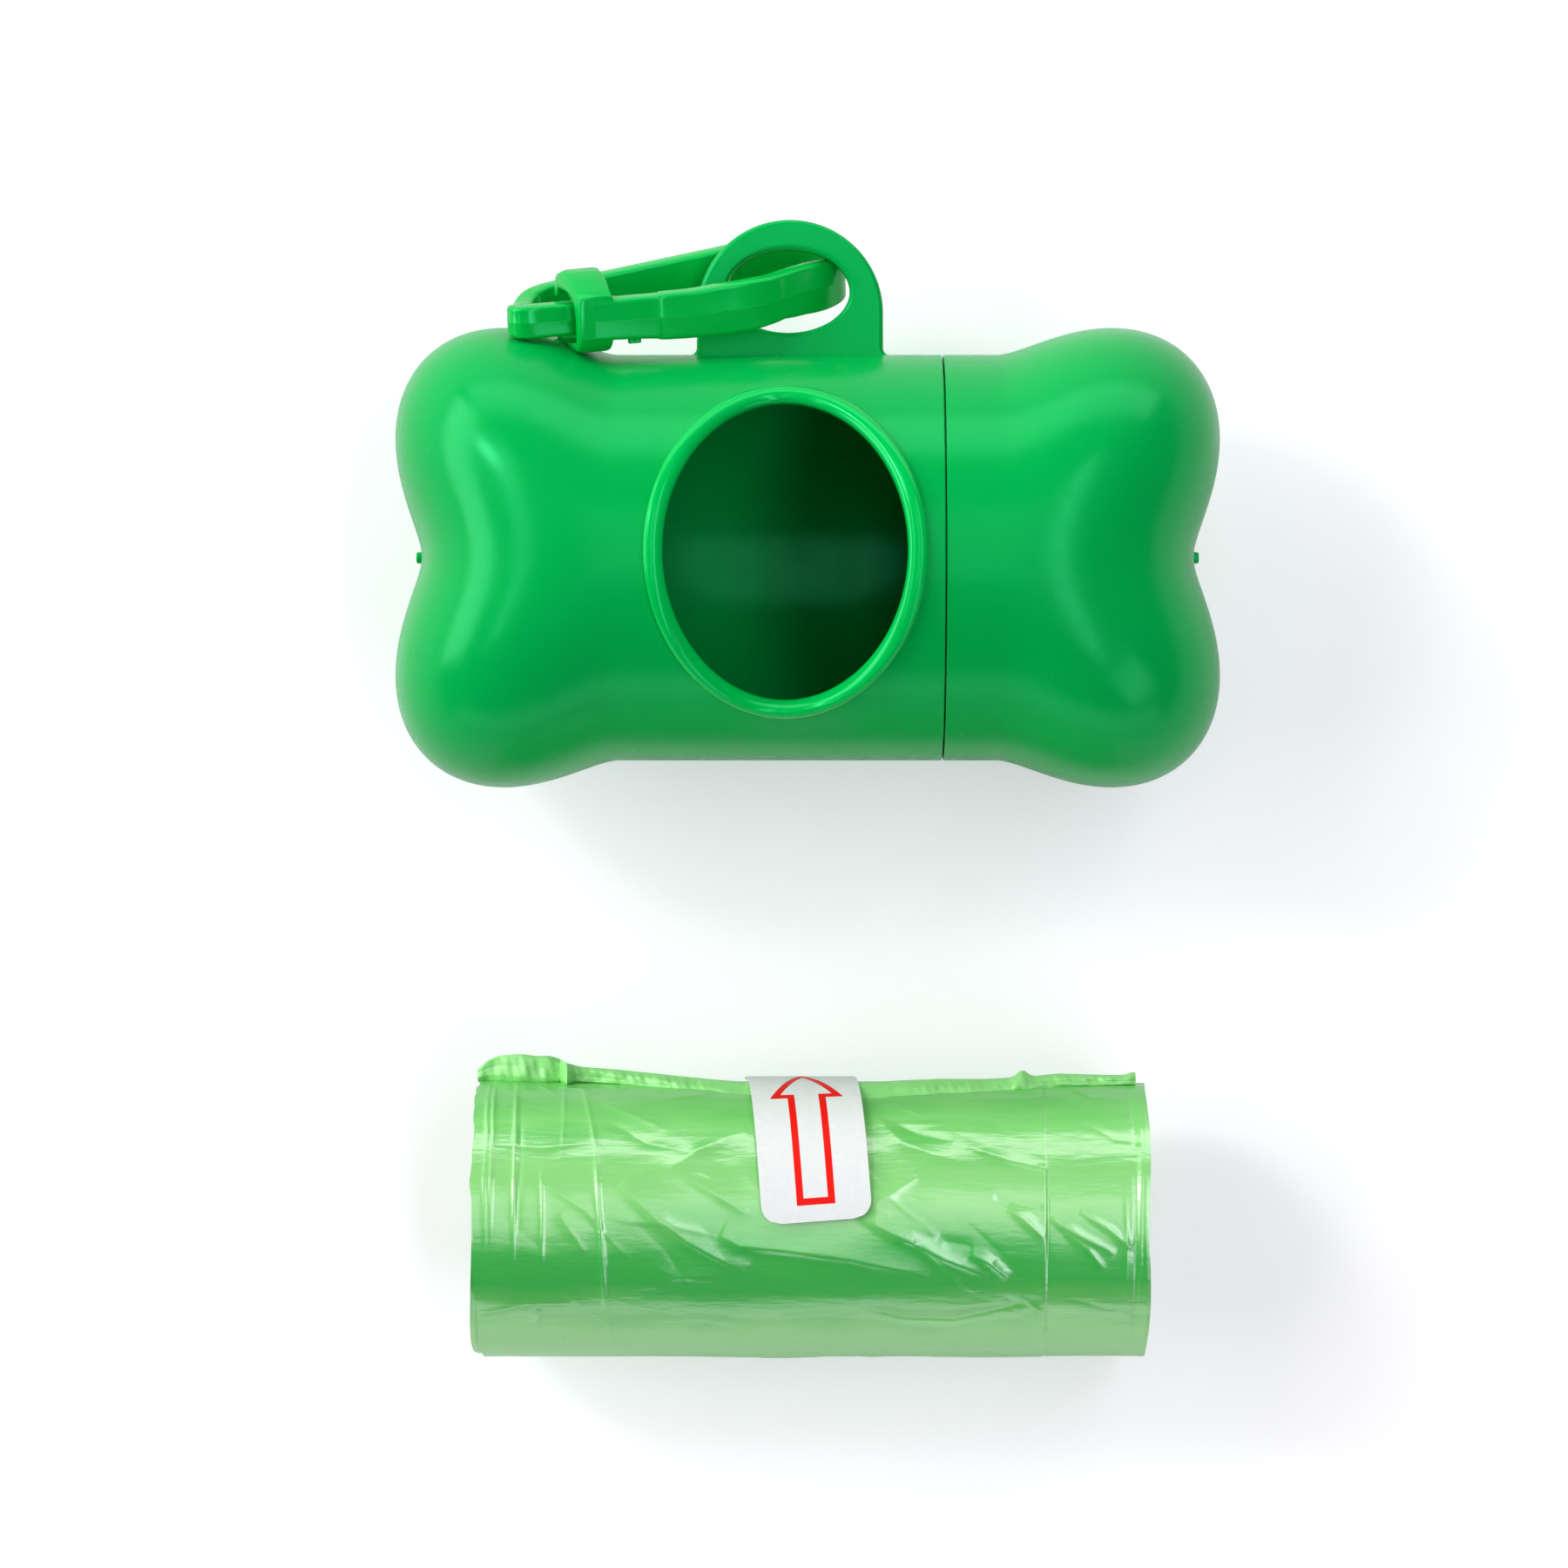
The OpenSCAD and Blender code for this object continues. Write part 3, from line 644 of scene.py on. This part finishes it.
def film_material(name, deep, colour, painted_highlight, rough, specular):
    """Thin polythene with fine crinkles, its colour painted in bands across the roll: pale bands of painted
    highlight and reflection, and a deep band of painted shade along the top.
    """
    material, nodes, links = node_material(name)
    shader = nodes["Principled BSDF"]
    place = nodes.new("ShaderNodeTexCoord")
    apart = nodes.new("ShaderNodeSeparateXYZ")
    links.new(place.outputs["Object"], apart.inputs["Vector"])
    around_roll = nodes.new("ShaderNodeMapRange")
    around_roll.inputs["From Min"].default_value = roll_y - band_reach
    around_roll.inputs["From Max"].default_value = roll_y + band_reach
    links.new(apart.outputs["Y"], around_roll.inputs["Value"])
    cloud = noise_of(nodes, links, 110, 4, 0.6, (0.5, 1.4, 1.4), (0, 0, 0.5))
    drift = nodes.new("ShaderNodeMapRange")
    drift.inputs["From Min"].default_value = 0.25
    drift.inputs["From Max"].default_value = 0.75
    drift.inputs["To Min"].default_value = -0.06
    drift.inputs["To Max"].default_value = 0.06
    links.new(cloud, drift.inputs["Value"])
    painted_band_place = nodes.new("ShaderNodeMath")
    painted_band_place.operation = "ADD"
    links.new(around_roll.outputs["Result"], painted_band_place.inputs[0])
    links.new(drift.outputs["Result"], painted_band_place.inputs[1])
    # The stops paint light and shade across the roll: the pale stops are painted highlights and reflections,
    # the deep stops are painted shade.
    stops = [(0.0, painted_highlight), (0.11, painted_highlight), (0.19, colour), (0.29, deep), (0.41, deep)]
    stops += [(0.59, painted_highlight), (0.7, painted_highlight), (0.79, colour), (0.86, painted_highlight), (0.97, colour)]
    links.new(ramp_of(nodes, links, painted_band_place.outputs[0], stops), shader.inputs["Base Color"])
    creases = noise_of(nodes, links, 340, 4, 0.55, (0.3, 1.5, 1.5), (0, 0, 0.6))
    fine = noise_of(nodes, links, 1500, 3, 0.6, (0.5, 1.2, 1.2), (0, 0, -0.4))
    creased = bump_of(nodes, links, creases, 1.1e-4)
    links.new(bump_of(nodes, links, fine, 1.6e-5, creased), shader.inputs["Normal"])
    shader.inputs["Roughness"].default_value = rough
    shader.inputs["IOR"].default_value = 1.8
    shader.inputs["Specular IOR Level"].default_value = specular
    return material


# The film's painted shade, its plain tone and its painted highlight.
painted_shade_green, film_tone, painted_highlight_green = (0.05, 0.52, 0.08), (0.155, 0.61, 0.125), (0.27, 0.75, 0.21)
film_green = film_material("green_bag_film", painted_shade_green, film_tone, painted_highlight_green, 0.24, 1.0)

# Every layer of the windings ends at a chance distance, every second one further in, and
# waves a little. The layers at the left end reach further on the low side.
chance = np.random.default_rng(7)
innermost = core_r + 0.1 * mm
layer_spread, layer_step, layer_wave = 0.25 * mm, 0.5 * mm, 0.12 * mm
round_roll = np.linspace(0, 2 * np.pi, roll_steps, endpoint=False)
low_side = 0.5 - 0.5 * np.sin(round_roll + 0.9)
wind_rings = []
for end, from_r, to_r in ((-1, innermost, film_r), (1, film_r, innermost)):
    for number, r in enumerate(np.linspace(from_r, to_r, layers)):
        ring = wheel_ring(0, r, roll_steps)
        out = film_half + layer_spread * chance.uniform(-1, 1) - layer_step * (number % 2)
        wave = layer_wave * np.sin(round_roll * chance.integers(2, 6) + chance.uniform(0, 6))
        further = 0.45 * mm * low_side - 0.1 * mm if end < 0 else -0.25 * mm
        ring[:, 0] = end * (out + wave + further)
        wind_rings.append(ring)
    if end == -1:
        wind_rings += [wheel_ring(x, film_r, roll_steps) for x in np.linspace(-31 * mm, 31 * mm, 30)]
wind_faces = joined_rings(len(wind_rings), roll_steps, closed=True)
windings = mesh_piece("wound_film", at_roll(np.concatenate(wind_rings)), wind_faces, film_green, 50)
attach(windings, "bag_roll")
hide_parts("roll_film")

# Last turn of the outer bag
# One loose turn of the same film around the windings. Where the label pulls on it, it is
# creased along slanting lines, and it is ringed near both ends where it was cut and sealed.
skin_r, skin_half, skin_t = 13.28 * mm, 32.4 * mm, 0.07 * mm
skin_rows, skin_steps = 620, 480
deepest, highest, above_table = -0.3 * mm, 0.42 * mm, 0.06 * mm
seal_x, seal_w, groove_x, groove_w, seal_h = 22.55 * mm, 0.06 * mm, 22.6 * mm, 0.12 * mm, 0.05 * mm
hem_fade = 1.5 * mm
run = np.linspace(-skin_half, skin_half, skin_rows)[:, None]
angle = np.linspace(0, 2 * np.pi, skin_steps, endpoint=False)[None, :]
girth = (np.mod(angle + np.pi / 2, 2 * np.pi) - np.pi) * skin_r


def crease(points, height, gentle, steep):
    """A fold along points (x, girth) in millimetres: gentle above the line and steep below it."""
    nearest = np.full((skin_rows, skin_steps), 1e9)
    signed = np.zeros((skin_rows, skin_steps))
    placed = np.zeros((skin_rows, skin_steps))
    points = [np.array(p) * mm for p in points]
    for number, (a, b) in enumerate(zip(points, points[1:])):
        way = b - a
        length = np.hypot(*way)
        along_fold = np.clip(((run - a[0]) * way[0] + (girth - a[1]) * way[1]) / length**2, 0, 1)
        dx, ds = run - a[0] - along_fold * way[0], girth - a[1] - along_fold * way[1]
        apart = np.hypot(dx, ds)
        side = np.where(way[0] * ds - way[1] * dx > 0, 1.0, -1.0)
        closer = apart < nearest
        nearest = np.where(closer, apart, nearest)
        signed = np.where(closer, apart * side, signed)
        placed = np.where(closer, (number + along_fold) / (len(points) - 1), placed)
    width = np.where(signed > 0, steep, gentle) * mm
    fading = np.sin(np.pi * np.clip(placed, 0.0, 1.0)) ** 0.6
    return height * mm * fading * np.exp(-((nearest / width) ** 1.3))


# The loose film swells in two low slanting waves: height, length along and round, and shift.
relief = np.zeros((skin_rows, skin_steps))
for height, wave_x, wave_s, shift in ((0.05, 4.3, 6.1, 0), (0.04, 2.9, -4.4, 1)):
    relief += height * mm * np.sin(run / (wave_x * mm) + girth / (wave_s * mm) + shift)

# Each long crease has its points (x, girth), its height and its gentle and steep widths.
long_creases = (
    (((-18.3, -4.1), (-15.0, -0.9), (-11.8, 1.4), (-9.2, 2.9), (-6.2, 4.4)), 0.34, 1.5, 0.45),
    (((-13.0, -5.4), (-9.2, -3.2), (-5.4, -0.9)), 0.22, 1.2, 0.5),
    (((-8.8, 0.7), (-6.8, 1.8), (-2.0, 2.3), (3.5, 3.0), (11.2, 4.8)), 0.36, 1.1, 0.5),
    (((4.0, -1.2), (8.0, 0.7), (12.6, 3.0), (17.0, 4.9)), 0.38, 1.3, 0.45),
    (((15.2, 2.6), (17.2, 3.6), (18.8, 5.2)), 0.26, 0.6, 0.35),
    (((9.8, 1.5), (12.5, 1.3), (15.4, 1.9)), -0.16, 0.6, 0.5),
    (((-24.1, -1.3), (-22.8, 0.6), (-21.5, 2.5)), 0.14, 0.6, 0.4),
    (((17.4, -2.9), (20.0, -2.2), (22.2, -1.8)), -0.14, 0.5, 0.5),
    (((18.8, -1.8), (20.4, -0.6), (22.4, 1.2)), 0.2, 0.6, 0.4),
    (((22.9, -0.7), (25.8, 0.9), (29.0, 2.5)), 0.22, 0.6, 0.4),
    (((25.6, -1.5), (28.4, 0.2), (30.8, 2.2)), 0.2, 0.5, 0.35),
    (((24.2, 0.6), (26.5, 2.2), (28.0, 4.2)), 0.12, 0.4, 0.35),
    (((5.8, -1.9), (8.0, -3.4), (10.2, -4.9)), 0.16, 0.8, 0.6),
    (((4.6, 8.0), (9.0, 9.6), (13.6, 9.9), (22.0, 7.4)), -0.2, 0.7, 0.6),
    (((-15.2, 3.6), (-13.2, 4.9), (-8.2, 4.9)), 0.1, 0.6, 0.5),
    (((6.6, -11.8), (10.0, -9.6), (13.6, -8.6)), -0.16, 0.7, 0.7),
    (((-6.0, -10.0), (-11.0, -7.5), (-14.5, -4.8)), 0.16, 0.9, 0.8),
    (((-20.0, -11.5), (-16.0, -8.6), (-11.0, -7.2)), -0.14, 0.8, 0.7),
    (((5.5, -12.8), (9.0, -8.0), (16.0, -5.6)), 0.12, 1.0, 0.7),
    (((-27.6, 8.6), (-26.9, 7.7), (-26.0, 9.0), (-26.6, 11.6)), 0.1, 0.35, 0.35),
)
for points, height, gentle, steep in long_creases:
    relief += crease(points, height, gentle, steep)

# Short creases lie by chance over the upper side, mostly slanting the same way.
short_creases = 90
for number in range(short_creases):
    x, s = chance.uniform(-30, 31), chance.uniform(-18, 22)
    slope = math.radians(chance.normal(26, 22))
    length = chance.uniform(1.6, 6)
    dx, ds = length * math.cos(slope), length * math.sin(slope)
    bend = chance.uniform(-0.25, 0.25) * length
    points = ((x - dx, s - ds), (x, s + bend), (x + dx, s + ds))
    height = chance.uniform(-0.07, 0.12)
    gentle = chance.uniform(0.25, 0.8)
    relief += crease(points, height, gentle, chance.uniform(0.2, 0.4))

# Rings part of the way round near both ends: x, the girth where each starts and stops, height.
end_creases = (
    (-31.2, -22, 3, 0.09), (-30.6, -22, 2, 0.12), (-28.4, -20, 4, 0.12), (-27.9, -14, 1, -0.07),
    (-25.7, -6, 4, 0.1), (-23.8, -18, -6, 0.06), (31.4, -20, 9, 0.08), (30.9, -22, 20, -0.08),
    (30.0, -4, 8, 0.06), (31.9, -18, 24, 0.07),
)
for x, low, high, height in end_creases:
    relief += crease(((x, low), (x + 0.15, (low + high) / 2), (x, high)), height, 0.24, 0.2)
relief += crease(((-22.4, -20), (-20.6, -8), (-20.0, 1), (-19.6, 9), (-18.6, 16)), 0.12, 0.3, 0.25)

# All the way round near the right end runs the seal: a small step with a groove beside it.
seal_step = 1 / (1 + np.exp((run - seal_x) / seal_w))
seal_groove = np.exp(-(((run - groove_x) / groove_w) ** 2))
relief += seal_h * (seal_step - seal_groove)
near_label = np.clip((6.2 * mm - np.abs(run)) / (1.5 * mm), 0, 1)
under_label = near_label * np.clip((0.5 * mm - girth) / (2 * mm), 0, 1)
skin = skin_r + np.clip(relief, deepest, highest) * (1 - 0.85 * under_label)

# The cut edges aren't straight, least of all at the left end.
left_hem = 0.6 * mm * np.clip(1 - np.sin(angle + 0.35), 0, 1.2)
left_hem = left_hem + 0.12 * mm * np.sin(9 * angle) + 0.06 * mm * np.sin(23 * angle + 1)
right_hem = 0.1 * mm * np.sin(5 * angle)
near_left = np.exp(-(run + skin_half) / hem_fade)
near_right = np.exp((run - skin_half) / hem_fade)
along_x = run + left_hem * near_left - right_hem * near_right
skin_points = at_roll(np.stack([along_x, skin * np.cos(angle), skin * np.sin(angle)], 2).reshape(-1, 3))
skin_points[:, 2] = np.maximum(skin_points[:, 2], above_table)
outer_film = mesh_piece("outer_bag_film", skin_points, joined_rings(skin_rows, skin_steps), film_green, 80)
thicken = outer_film.modifiers.new("film_thickness", "SOLIDIFY")
thicken.thickness = skin_t
thicken.offset = -1
finished(outer_film)
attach(outer_film, "bag_roll")
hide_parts("outer_bag")

# Gathered free edge
# The outer bag's hem lies folded along the roll where it faces the dispenser, and stands out
# from it. It is bunched at the left corner and pressed flat under the label.
edge_rows, across_steps = 520, 30
edge_r, tip_r, under_angle = 13.26, 13.3, -0.16
edge_x = np.linspace(-32.3, 31.5, edge_rows)

# How far the hem stands out, and the angle above the horizontal where it starts, both along x.
standing_out = (
    (-32.3, 1.2), (-31.4, 2.1), (-30.2, 2.6), (-28, 2.75), (-26.6, 2.55), (-25.4, 2.6), (-24.4, 2.3),
    (-23.4, 1.8), (-22.3, 1.5), (-18, 1.2), (-14.5, 0.85), (-11.5, 0.55), (-9, 0.25), (-6.8, 0.0),
    (6.8, 0.0), (9, 0.2), (12.5, 0.4), (17, 0.35), (19.6, 0.55), (20.5, 1.4), (21.4, 0.65), (24, 0.9),
    (28.6, 0.75), (30.6, 0.75), (31.2, 1.15), (31.5, 0.9),
)
start_angles = (
    (-32.3, -2), (-28, 3), (-25.6, 4), (-24.3, 1), (-23.6, 9), (-22.9, 2), (-21.5, 2), (-18, 8),
    (-12, 18), (-7, 25), (7, 26), (14, 22), (21, 17), (24, 13), (31.5, 8),
)
# Its waves: height, how fast they run along x and across the hem, and shift.
hem_waves = ((0.16, 1.3, 2.5, 0), (0.1, 2.9, -4, 1), (0.05, 7.3, 9, 0))
reach_out = np.interp(edge_x, *zip(*standing_out))
reach_out = np.convolve(np.pad(reach_out, 3, mode="edge"), np.ones(7) / 7, mode="valid")
fold_angle = np.interp(edge_x, *zip(*start_angles))
edge_points = []
for x, out, start in zip(edge_x, reach_out, np.radians(fold_angle)):
    root = (edge_r * math.cos(start), edge_r * math.sin(start))
    tip = (tip_r + out, max(root[1] * 0.5, root[1] - 2.2) + 0.25)
    under = (edge_r * math.cos(under_angle), edge_r * math.sin(under_angle))
    ring = []
    for step in range(across_steps):
        t = step / across_steps
        wave = sum(high * math.sin(x * fast + t * over + shift) for high, fast, over, shift in hem_waves)
        if t < 0.5:
            u = t * 2
            swell = 0.42 * math.sin(math.pi * u) ** 0.7 + 0.13 * math.sin(3 * math.pi * u + 0.25 * x) ** 3
            y = root[0] + (tip[0] - root[0]) * u
            z = root[1] + (tip[1] - root[1]) * u + (swell + wave * math.sin(math.pi * u)) * min(1, out + 0.25)
        else:
            u = t * 2 - 1
            y = tip[0] + (under[0] - tip[0]) * u + 0.2 * math.sin(math.pi * u)
            z = tip[1] + (under[1] - tip[1]) * u - 0.3 * math.sin(math.pi * u) * min(1, out)
        ring.append((x * mm, y * mm, z * mm))
    edge_points.append(ring)
edge_points = at_roll(np.array(edge_points).reshape(-1, 3))
# The hem takes the same painted bands of highlight and shade across the roll, in its own greens.
hem_painted_shade_green, loose_green = (0.2, 0.7, 0.17), (0.3, 0.8, 0.24)
slack_film = film_material("slack_green_film", hem_painted_shade_green, loose_green, loose_green, 0.4, 0.35)
edge_faces = capped_rings(edge_rows, across_steps)
free_edge = mesh_piece("gathered_free_edge", edge_points, edge_faces, slack_film, 60)
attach(free_edge, "bag_roll")
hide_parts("free_edge")

# Label
# A small white paper label, stuck over the free edge to hold the roll shut. It carries
# a printed red arrow that shows the way to pull.
label_w, label_l, label_corner, label_t = 10.5, 25.5, 1.8, 0.12
label_r, label_x, label_low, turned_at, label_tilt = 13.95, 0.05, 0.6, 7.75, math.radians(4.2)
uv_scale, line_half = 30.0, 0.34
start_dip, dip_at, dip_spread, end_dip, end_from, end_over = 0.25, 2, 5, 0.22, 12, 8
label_paper, nodes, links = node_material("white_label_paper")
shader = nodes["Principled BSDF"]
shader.inputs["Roughness"].default_value = 0.45
shader.inputs["Specular IOR Level"].default_value = 0.15


def number_node(nodes, links, kind, *values):
    """A math node that works on numbers and other nodes' results."""
    node = nodes.new("ShaderNodeMath")
    node.operation = kind
    for socket, value in zip(node.inputs, values):
        if isinstance(value, (int, float)):
            socket.default_value = value
        else:
            links.new(value, socket)
    return node.outputs[0]


def arrow(nodes, links, u, v, grow):
    """1 inside an arrow that is grown by so many millimetres, and 0 outside."""

    def sum_of(kind, *values):
        return number_node(nodes, links, kind, *values)

    body_half, body_low, head_low, head_half, tip = 1.5, 1.95, 14.3, 3.0, 20.6
    slope = head_half / (tip - head_low)
    side = sum_of("ABSOLUTE", u)
    body = sum_of("LESS_THAN", side, body_half + grow)
    body = sum_of("MULTIPLY", body, sum_of("GREATER_THAN", v, body_low - grow))
    body = sum_of("MULTIPLY", body, sum_of("LESS_THAN", v, head_low + 1))
    reach = sum_of("MULTIPLY", sum_of("SUBTRACT", tip, v), slope)
    reach = sum_of("ADD", reach, grow * math.sqrt(1 + slope**2))
    head = sum_of("LESS_THAN", side, reach)
    head = sum_of("MULTIPLY", head, sum_of("GREATER_THAN", v, head_low - grow))
    return sum_of("MAXIMUM", body, head)


place = nodes.new("ShaderNodeUVMap")
place.uv_map = "label_millimetres"
apart = nodes.new("ShaderNodeSeparateXYZ")
links.new(place.outputs["UV"], apart.inputs["Vector"])
across = number_node(nodes, links, "MULTIPLY", apart.outputs["X"], uv_scale)
along = number_node(nodes, links, "MULTIPLY", apart.outputs["Y"], uv_scale)
across = number_node(nodes, links, "SUBTRACT", across, label_w / 2)
outer_arrow = arrow(nodes, links, across, along, line_half)
inner_arrow = arrow(nodes, links, across, along, -line_half)
ink = number_node(nodes, links, "SUBTRACT", outer_arrow, inner_arrow)
paper_tones = [(0.3, (0.8, 0.815, 0.825)), (0.7, (0.85, 0.86, 0.87))]
paper = ramp_of(nodes, links, noise_of(nodes, links, 1400, 4, 0.6), paper_tones)
print_mix = nodes.new("ShaderNodeMix")
print_mix.data_type = "RGBA"
links.new(ink, print_mix.inputs["Factor"])
links.new(paper, print_mix.inputs["A"])
print_mix.inputs["B"].default_value = (0.9, 0.006, 0.002, 1)
links.new(print_mix.outputs["Result"], shader.inputs["Base Color"])
links.new(bump_of(nodes, links, noise_of(nodes, links, 2600, 3), 4e-6), shader.inputs["Normal"])

# The paper's points on both faces. Its corners are rounded, and it is pressed down a little
# near its upper end and towards its far end.
rows, columns = 90, 36
label_points, label_uv = [], []
for layer in (label_t, 0.0):
    for row in range(rows + 1):
        v = label_l * row / rows
        into_corner = label_corner - min(v, label_l - v, label_corner)
        trim = label_corner - math.sqrt(max(0, label_corner**2 - into_corner**2))
        for column in range(columns + 1):
            u = (label_w / 2 - trim) * (2 * column / columns - 1)
            x = label_x + u * math.cos(label_tilt) - (v - turned_at) * math.sin(label_tilt)
            s = label_low + v * math.cos(label_tilt) + u * math.sin(label_tilt)
            a = math.pi / 2 - s / label_r
            pressed = start_dip * math.exp(-((s - dip_at) / dip_spread) ** 2)
            pressed += end_dip * min(1, max(0, (s - end_from) / end_over))
            lift = label_r + layer - pressed
            label_points.append((x * mm, lift * math.cos(a) * mm, lift * math.sin(a) * mm))
            label_uv.append(((u + label_w / 2) / uv_scale, v / uv_scale))
size = columns + 1
label_faces = []
total = (rows + 1) * size
for row in range(rows):
    for column in range(columns):
        a = row * size + column
        label_faces.append((a, a + 1, a + size + 1, a + size))
        label_faces.append((total + a, total + a + size, total + a + size + 1, total + a + 1))
rim_line = list(range(size)) + [row * size + columns for row in range(1, rows + 1)]
rim_line += [rows * size + column for column in range(columns - 1, -1, -1)]
rim_line += [row * size for row in range(rows - 1, 0, -1)]
label_faces += [(a, total + a, total + b, b) for a, b in zip(rim_line, rim_line[1:] + rim_line[:1])]
label = mesh_piece("roll_label_paper", at_roll(label_points), label_faces, label_paper, 40)
uv_layer = label.data.uv_layers.new(name="label_millimetres")
for corner in label.data.loops:
    uv_layer.data[corner.index].uv = label_uv[corner.vertex_index]
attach(label, "bag_roll")
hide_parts("roll_label")
